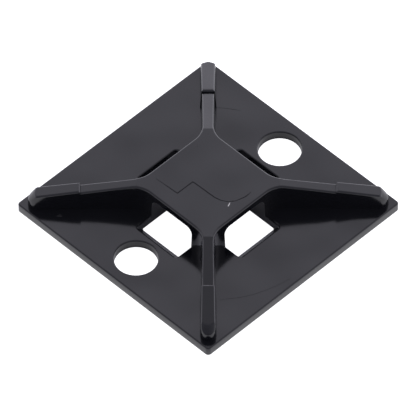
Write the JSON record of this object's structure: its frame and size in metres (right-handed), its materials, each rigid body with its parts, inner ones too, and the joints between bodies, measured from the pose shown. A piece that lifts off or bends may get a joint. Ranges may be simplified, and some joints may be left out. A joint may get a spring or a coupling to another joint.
{
  "type": "cable tie mount",
  "caption": "Flat square moulded base with a raised bridge that a cable tie passes under in either direction, and screw holes beside the bridge.",
  "frame": {"origin": "centre of the flat mounting face, on the surface that the base is screwed to", "axes": "+Z away from the mounting surface, +X along the line of the two screw holes"},
  "size_m": [0.028, 0.028, 0.0043],
  "materials": {
    "nylon": "semi-gloss moulded black nylon"
  },
  "bodies": {
    "root": {"cable_tie_mount": "nylon"}
  },
  "joints": []
}
